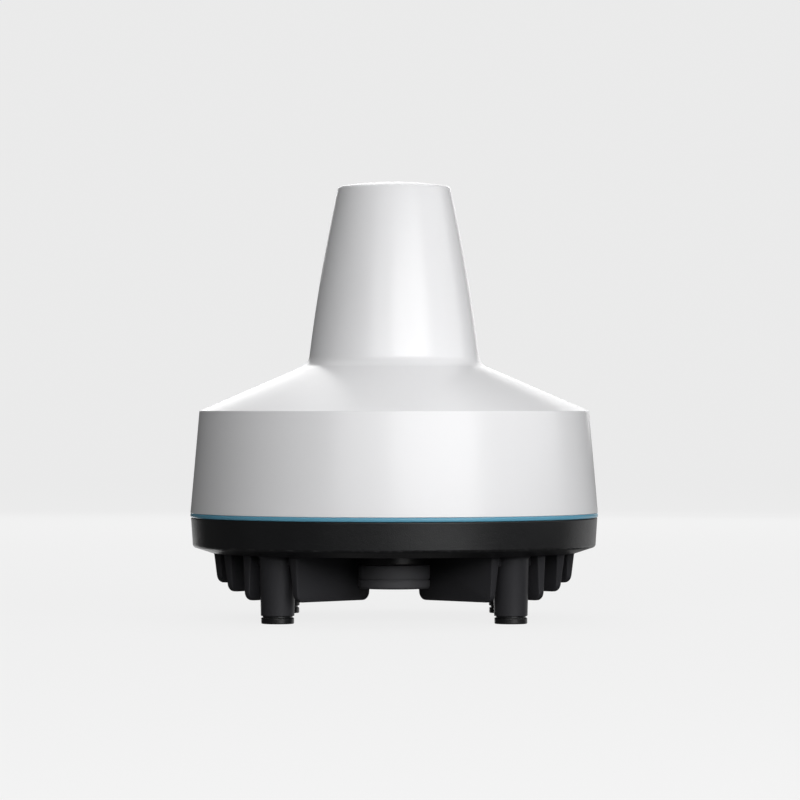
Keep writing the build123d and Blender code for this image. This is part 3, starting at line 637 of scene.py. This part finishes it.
def piece(name, mesh, slot, body, *nodes, crease=30.0):
    """Puts a finished mesh in the scene as a piece that rides on a body and stands for CAD nodes."""
    mesh.name = name
    if not mesh.materials:
        mesh.materials.append(finish_for(slot))
    mesh.shade_smooth()
    mesh.set_sharp_from_angle(angle=radians(crease))
    made = bpy.data.objects.new(name, mesh)
    bpy.context.scene.collection.objects.link(made)
    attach(made, body)
    if nodes:
        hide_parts(*nodes)
    return made


def blade_mesh(name, side, root_z, flare, root_t, tip_t, rounding):
    """A cast fin along +X from its side outline of (x, z) points, with rounded edges and a root fillet."""
    low = min(point[1] for point in side)
    work = bmesh.new()
    faces = []
    for sign in (1, -1):
        ring = []
        for x, z in side:
            share = (z - low) / (root_z - low)
            ring.append(work.verts.new((x, sign * (tip_t + (root_t - tip_t) * share) / 2, z)))
        faces.append(ring)
    count = len(side)
    work.faces.new(faces[0])
    work.faces.new(faces[1][::-1])
    for i in range(count):
        j = (i + 1) % count
        work.faces.new((faces[0][i], faces[1][i], faces[1][j], faces[0][j]))
    bmesh.ops.recalc_face_normals(work, faces=work.faces)
    top = max(point[1] for point in side)
    edges = [edge for edge in work.edges
             if min(vert.co.z for vert in edge.verts) < top - 1e-6 and len(edge.link_faces) == 2
             and edge.calc_face_angle() > radians(40)]
    bmesh.ops.bevel(work, geom=edges, offset=rounding, segments=3, profile=0.5, affect="EDGES",
                    clamp_overlap=True)
    roof = [face for face in work.faces
            if face.normal.z > 0.9 and face.calc_center_median().z > top - 1e-5]
    middle = (min(point[0] for point in side) + max(point[0] for point in side)) / 2
    for rise, out in FLARE_STEPS:
        raised = bmesh.ops.extrude_face_region(work, geom=roof)
        verts = [item for item in raised["geom"] if isinstance(item, bmesh.types.BMVert)]
        bmesh.ops.delete(work, geom=roof, context="FACES_ONLY")
        roof = [item for item in raised["geom"] if isinstance(item, bmesh.types.BMFace)]
        for vert in verts:
            vert.co.z += rise * flare
            vert.co.x += out * flare if vert.co.x > middle else -out * flare
            vert.co.y += out * flare if vert.co.y > 0 else -out * flare
    mesh = bpy.data.meshes.new(name)
    work.to_mesh(mesh)
    work.free()
    outward(mesh)
    return mesh


# ---------------------------------------------------------------- operators
class RECEIVER_OT_finishes(bpy.types.Operator):
    """Makes the finish of every slot and gives it to the CAD nodes"""

    bl_idname = "receiver.finishes"
    bl_label = "Make finishes"

    def execute(self, context):
        made = make_finishes(context)
        for entry in frame["record"]["subparts"]:
            node = frame["nodes"][entry["node"]]
            node.data.materials.clear()
            node.data.materials.append(made[entry["material_slot"]])
        return {"FINISHED"}


class RECEIVER_OT_radome(bpy.types.Operator):
    """Makes the radome, a hollow turned moulding with screw bosses inside"""

    bl_idname = "receiver.radome"
    bl_label = "Make radome"

    def execute(self, context):
        s = context.scene.receiver_radome
        low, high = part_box("radome")
        outside = self.surface(s, high.x, low.z, high.z, 0.0)
        inside = self.surface(s, high.x, low.z, high.z, s.wall)
        shell = lathe("radome_shell", [*outside, *reversed(inside)], "radome_white", s.segments)
        bosses = self.bosses(s, low.z)
        piece("radome_shell", joined("radome_shell", [shell, *bosses]), "radome_white", "head", "radome")
        return {"FINISHED"}

    def surface(self, s, skirt_radius, skirt_height, top, inset):
        """The outline from the top of the tower down to the lower edge of the skirt."""
        rim = (s.rim_radius - inset, s.rim_height - inset)
        waist = (s.waist_radius - inset, s.waist_height - inset)
        crease = (s.crease_radius - inset, s.crease_height - 0.8 * inset)
        foot = (skirt_radius - inset, skirt_height)
        crown = top - inset
        rise = crown - rim[1]
        curve = (rim[0] ** 2 + rise**2) / (2 * rise)
        roof = [(rim[0] * t, crown - (rim[0] * t) ** 2 / (2 * curve)) for t in (0.0, 0.2, 0.4, 0.6, 0.8)]
        belly = (s.belly_radius - inset, s.belly_height)
        tower = arc_through(rim, belly, waist, 24)
        edge = rounded([(*roof[-1], 0.0), (*rim, s.rim_round), (*tower[0], 0.0)], 8)[1:-1]
        tower = [point for point in tower if point.y < edge[-1].y - 0.5 * MM]
        neck_from = tower[-2]
        neck = rounded([(*neck_from, 0.0), (*waist, s.waist_round), (*crease, 0.0)], 14)[1:-1]
        tower = [point for point in tower if point.y > neck[0].y + 0.5 * MM]
        fold = rounded([(*neck[-1], 0.0), (*crease, s.crease_round), (*foot, 0.0)], 4)[1:-1]
        hem = 0.2 * MM if inset == 0.0 else 0.0
        end = [(foot[0], foot[1] + hem), (foot[0] - hem, foot[1])] if hem else [foot]
        return [*roof, *edge, *tower, *neck, *fold, *end]

    def bosses(self, s, skirt_height):
        """The screw bosses, one over each radome screw, reaching up to the shoulder."""
        meshes = []
        for centre in screw_centres():
            reach = Vector(centre).length
            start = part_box("cover_screws")[1].z - 10 * MM
            slope = (s.waist_height - s.crease_height) / (s.crease_radius - s.waist_radius)
            end = s.crease_height + (s.crease_radius - reach) * slope - s.wall
            bore, bore_depth = 1.5 * MM, 12 * MM
            outline = [(bore, start), (s.boss_radius, start), (s.boss_radius, end), (0.0, end),
                       (0.0, start + bore_depth), (bore, start + bore_depth)]
            mesh = lathe("boss", outline, "radome_white", 24, closed=True)
            mesh.transform(Matrix.Translation((centre[0], centre[1], 0.0)))
            meshes.append(mesh)
        return meshes


def screw_centres():
    """The centres of the radome screws, found from the heads of the CAD screws."""
    mesh = frame["nodes"]["cover_screws"].data
    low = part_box("cover_screws")[0].z
    centres = []
    for vert in mesh.vertices:
        if vert.co.z > low + 1.0 * MM:
            continue
        for centre in centres:
            if (vert.co.xy - centre[0] / centre[1]).length < 6 * MM:
                centre[0] += vert.co.xy
                centre[1] += 1
                break
        else:
            centres.append([vert.co.xy.copy(), 1])
    return [total / count for total, count in centres]


class RECEIVER_OT_ring(bpy.types.Operator):
    """Makes the thin blue ring between the radome and the base"""

    bl_idname = "receiver.ring"
    bl_label = "Make ring"

    def execute(self, context):
        s = context.scene.receiver_radome
        low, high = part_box("trim_ring")
        spigot_step, soft = 2.8 * MM, 0.45 * MM
        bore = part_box("base_casting")[1].x - spigot_step + s.ring_gap
        outline = rounded([(bore, low.z, 0.0), (high.x, low.z, soft), (high.x, high.z, soft),
                           (bore, high.z, 0.0)], 5)
        mesh = lathe("blue_ring", outline, "ring_blue", s.segments, closed=True)
        piece("blue_ring", mesh, "ring_blue", "head", "trim_ring")
        return {"FINISHED"}


class RECEIVER_OT_fins(bpy.types.Operator):
    """Makes the stepped cooling fins, and the plates on the other side of the posts"""

    bl_idname = "receiver.fins"
    bl_label = "Make fins and plates"

    def execute(self, context):
        s = context.scene.receiver_base
        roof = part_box("cooling_fins")[1].z
        root = roof - s.root_flare
        rows = []
        for row in FIN_ROWS:
            beside, low, outer = (size * MM for size in row[:3])
            side = self.side(beside + s.fin_channel, outer, low, root, radians(row[3]), s.corner_round)
            mesh = blade_mesh("fin", side, root, s.root_flare, s.fin_root, s.fin_tip, s.edge_round)
            rows.append(through_tree(mesh, tree_named("quadrants"), Beside=beside,
                                     Material=finish_for("base_black")))
        piece("cast_fins", joined("cast_fins", rows), "base_black", "head", "cooling_fins")

        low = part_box("diagonal_plates")[0].z
        side = self.side(s.plate_inner, s.plate_outer, low, root, s.plate_lean, s.corner_round)
        mesh = blade_mesh("plate", side, root, s.root_flare, s.fin_root, s.fin_tip, s.edge_round)
        plates = through_tree(mesh, tree_named("quadrants"), Beside=-s.plate_beside,
                              Material=finish_for("base_black"))
        piece("cast_plates", plates, "base_black", "head", "diagonal_plates")
        return {"FINISHED"}

    def side(self, inner, outer, low, root, lean, corner):
        """The side outline of a fin, as (x, z) points."""
        outer_low = outer - (root - low) * tan(lean)
        return rounded([(inner, root, 0.0), (outer, root, 0.0), (outer_low, low, corner),
                        (inner, low, corner)], 6)


class RECEIVER_OT_posts(bpy.types.Operator):
    """Makes the four tapered posts, each flaring into the base"""

    bl_idname = "receiver.posts"
    bl_label = "Make posts"

    def execute(self, context):
        s = context.scene.receiver_base
        low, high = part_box("mounting_posts")
        root_radius = high.x - s.post_circle * cos(pi / 4)
        insert_top, insert_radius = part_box("post_inserts")[1].z, 4.0 * MM
        outline = rounded(
            [(0.0, insert_top, 0.0), (insert_radius, insert_top, 0.0), (insert_radius, low.z, 0.0),
             (s.post_tip, low.z, 0.3 * MM), (root_radius, high.z - 1.2 * MM, 0.0),
             (root_radius + 0.25 * MM, high.z - 0.6 * MM, 0.0), (root_radius + 0.9 * MM, high.z, 0.0),
             (0.0, high.z, 0.0)], 4)
        post = lathe("post", outline, "base_black", 64)
        post.transform(Matrix.Translation((s.post_circle, 0.0, 0.0)))
        web = self.web(s, high.z, s.plate_beside - 1.8 * MM)
        placed = [through_tree(mesh, tree_named("quadrants"), Beside=0.0, Material=finish_for("base_black"))
                  for mesh in (post, web)]
        piece("posts", joined("posts", placed), "base_black", "head", "mounting_posts", crease=40.0)
        return {"FINISHED"}

    def web(self, s, roof, reach):
        """The low web that ties a post to the fin on one side of it and the plate on the other."""
        work = bmesh.new()
        bmesh.ops.create_cube(work, size=1.0)
        size = (s.web, 2 * reach, roof - s.web_height)
        bmesh.ops.scale(work, vec=size, verts=work.verts)
        bmesh.ops.translate(work, vec=(s.post_circle, 0.0, (roof + s.web_height) / 2), verts=work.verts)
        below = [edge for edge in work.edges if max(vert.co.z for vert in edge.verts) < roof - 1 * MM]
        bmesh.ops.bevel(work, geom=below, offset=s.edge_round, segments=3, profile=0.5, affect="EDGES")
        mesh = bpy.data.meshes.new("web")
        work.to_mesh(mesh)
        work.free()
        outward(mesh)
        return mesh


class RECEIVER_OT_port(bpy.types.Operator):
    """Makes the cap that unscrews from the port"""

    bl_idname = "receiver.port"
    bl_label = "Make port and cap"

    def execute(self, context):
        s = context.scene.receiver_port
        low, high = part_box("port_cap")
        middle = (low + high) / 2
        reach = high.x - middle.x
        wall, sleeve, bore = 1.8 * MM, 7.6 * MM, 5.61 * MM
        half = s.groove_width / 2
        soft = 0.12 * MM
        outline = rounded(
            [(0.0, low.z + 0.5 * MM, 0.0), (s.dish_radius, low.z + 0.5 * MM, 0.3 * MM),
             (s.dish_radius + 0.5 * MM, low.z, 0.2 * MM), (reach - 0.5 * MM, low.z, 0.3 * MM),
             (reach, low.z + 0.6 * MM, 0.3 * MM), (reach, s.groove_height - half, soft),
             (reach - s.groove_depth, s.groove_height - half, soft),
             (reach - s.groove_depth, s.groove_height + half, soft),
             (reach, s.groove_height + half, soft), (reach, high.z, 0.4 * MM),
             (reach - wall, high.z, 0.2 * MM), (reach - wall, s.floor_height, 0.4 * MM),
             (sleeve, s.floor_height, 0.4 * MM), (sleeve, high.z, 0.2 * MM), (bore, high.z, 0.2 * MM),
             (bore, s.seat_height, 0.0), (0.0, s.seat_height, 0.0)], 4)
        mesh = lathe("screw_cap", outline, "cap_black", 96)
        mesh.transform(Matrix.Translation((middle.x, middle.y, 0.0)))
        piece("screw_cap", mesh, "cap_black", "cap", "port_cap")
        return {"FINISHED"}


class RECEIVER_OT_board(bpy.types.Operator):
    """Scatters the small parts round the modules of the circuit board"""

    bl_idname = "receiver.board"
    bl_label = "Make small parts"

    def execute(self, context):
        s = context.scene.receiver_board
        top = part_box("main_board")[1].z
        work = bmesh.new()
        for low_x, low_y, high_x, high_y in BOARD_FIELDS:
            corners = [(low_x, low_y), (high_x, low_y), (high_x, high_y), (low_x, high_y)]
            work.faces.new([work.verts.new((x * MM, y * MM, top)) for x, y in corners])
        field = bpy.data.meshes.new("field")
        work.to_mesh(field)
        work.free()
        parts = through_tree(field, tree_named("scatter"), Spacing=s.spacing, Seed=s.seed,
                             TurnSeed=s.turn_seed, Material=finish_for("chip_black"))
        outward(parts)
        piece("small_parts", parts, "chip_black", "head")
        return {"FINISHED"}


class RECEIVER_OT_stage(bpy.types.Operator):
    """Makes the floor, the backdrop, the lights and the camera"""

    bl_idname = "receiver.stage"
    bl_label = "Make stage"

    def execute(self, context):
        s = context.scene.receiver_stage
        self.backdrop(s)
        self.world(s)
        centre = Vector((0.0, 0.0, 0.08))
        self.softbox("key", centre, (24.0, 16.0), (50.0, 20.0), s.key)
        self.softbox("fill_left", centre, (-18.0, 16.0), (32.0, 20.0), 0.42 * s.key)
        self.softbox("fill_right", centre, (80.0, 16.0), (58.0, 20.0), 0.31 * s.key)
        self.softbox("top", centre, (180.0, 72.0), (90.0, 44.0), s.top)
        self.softbox("back", centre, (-177.0, 28.0), (22.0, 46.0), s.back)
        self.softbox("back_left", centre, (-168.0, 26.0), (18.0, 40.0), 0.7 * s.back)
        self.softbox("back_right", centre, (166.0, 12.0), (18.0, 22.0), s.back)
        self.softbox("rim_left", centre, (-166.0, -12.0), (28.0, 16.0), 1.5 * s.rim)
        self.softbox("rim_right", centre, (148.0, -10.0), (60.0, 16.0), 0.6 * s.rim)
        self.softbox("low", centre, (28.0, -1.0), (34.0, 14.0), 0.25 * s.key)
        self.softbox("front", centre, (-8.0, 22.0), (30.0, 30.0), s.front).visible_glossy = False
        self.camera(context, s)
        context.scene.view_settings.view_transform = "Standard"
        return {"FINISHED"}

    def backdrop(self, s):
        """A pale floor that curves up into a backdrop."""
        width, near, far, bend, top = 14.0, -6.0, 3.0, 1.5, 8.0
        profile = [(near, 0.0), (far, 0.0)]
        for i in range(1, 13):
            turn = pi / 2 * i / 12
            profile.append((far + bend * sin(turn), bend * (1 - cos(turn))))
        profile.append((far + bend, top))
        mesh = bpy.data.meshes.new("floor")
        verts = [(side * width / 2, y, z) for y, z in profile for side in (-1, 1)]
        faces = [(2 * i, 2 * i + 1, 2 * i + 3, 2 * i + 2) for i in range(len(profile) - 1)]
        mesh.from_pydata(verts, [], faces)
        mesh.shade_smooth()
        finish = Finish("floor", 0.9)
        finish.put("Base Color", shade(tuple(s.floor), 0.08))
        finish.put("Emission Color", tuple(s.floor))
        finish.put("Emission Strength", 0.95)
        finish.put("Specular IOR Level", 0.0)
        mesh.materials.append(finish.material)
        floor = bpy.data.objects.new("floor", mesh)
        bpy.context.scene.collection.objects.link(floor)
        floor.visible_diffuse = False
        floor.visible_glossy = False
        floor.visible_shadow = False

    def world(self, s):
        """A dim, even surround."""
        world = bpy.data.worlds.new("studio")
        bpy.context.scene.world = world
        world.use_nodes = True
        background = world.node_tree.nodes["Background"]
        background.inputs["Color"].default_value = (s.around, s.around, s.around, 1.0)

    def softbox(self, name, centre, bearing, spread, brightness, distance=1.5):
        """A softbox at a bearing, as azimuth right of the camera and elevation, of a spread in degrees."""
        light = bpy.data.lights.new(name, "AREA")
        light.shape = "RECTANGLE"
        light.size = 2 * distance * tan(radians(spread[0] / 2))
        light.size_y = 2 * distance * tan(radians(spread[1] / 2))
        light.energy = brightness * pi * light.size * light.size_y
        a, e = (radians(angle) for angle in bearing)
        way = Vector((sin(a) * cos(e), -cos(a) * cos(e), sin(e)))
        box = bpy.data.objects.new(name, light)
        box.location = centre + way * distance
        box.rotation_euler = way.to_track_quat("Z", "Y").to_euler()
        box.visible_camera = False
        bpy.context.scene.collection.objects.link(box)
        return box

    def camera(self, context, s):
        """A level camera at the height of the radome's crease."""
        lens = bpy.data.cameras.new("camera")
        lens.lens = s.lens
        lens.sensor_width = 36.0
        lens.shift_x = 0.00725
        lens.shift_y = 0.01375
        lens.clip_end = 100.0
        camera = bpy.data.objects.new("camera", lens)
        camera.location = (0.0, -s.camera_distance, context.scene.receiver_radome.crease_height)
        camera.rotation_euler = (pi / 2, 0.0, 0.0)
        bpy.context.scene.collection.objects.link(camera)
        context.scene.camera = camera


OPERATORS = (
    RECEIVER_OT_finishes,
    RECEIVER_OT_radome,
    RECEIVER_OT_ring,
    RECEIVER_OT_fins,
    RECEIVER_OT_posts,
    RECEIVER_OT_port,
    RECEIVER_OT_board,
    RECEIVER_OT_stage,
)


class RECEIVER_PT_panel(bpy.types.Panel):
    """Lists the receiver's operators and settings"""

    bl_idname = "RECEIVER_PT_panel"
    bl_label = "Satellite Receiver Head"
    bl_space_type = "VIEW_3D"
    bl_region_type = "UI"
    bl_category = "Receiver"

    def draw(self, context):
        column = self.layout.column()
        for operator in OPERATORS:
            column.operator(operator.bl_idname)
        for name in SETTINGS:
            group = getattr(context.scene, name)
            box = self.layout.box()
            for prop in group.bl_rna.properties:
                if prop.identifier not in ("rna_type", "name"):
                    box.prop(group, prop.identifier)


def register():
    """Registers the settings, operators and panel."""
    for name, group in SETTINGS.items():
        bpy.utils.register_class(group)
        setattr(bpy.types.Scene, name, PointerProperty(type=group))
    for operator in OPERATORS:
        bpy.utils.register_class(operator)
    bpy.utils.register_class(RECEIVER_PT_panel)


def unregister():
    """Removes what register added."""
    bpy.utils.unregister_class(RECEIVER_PT_panel)
    for operator in reversed(OPERATORS):
        bpy.utils.unregister_class(operator)
    for name, group in SETTINGS.items():
        delattr(bpy.types.Scene, name)
        bpy.utils.unregister_class(group)


def main():
    """Builds every piece and the stage."""
    register()
    bpy.ops.receiver.finishes()
    bpy.ops.receiver.radome()
    bpy.ops.receiver.ring()
    bpy.ops.receiver.fins()
    bpy.ops.receiver.posts()
    bpy.ops.receiver.port()
    bpy.ops.receiver.board()
    bpy.ops.receiver.stage()


if __name__ == "__main__":
    main()
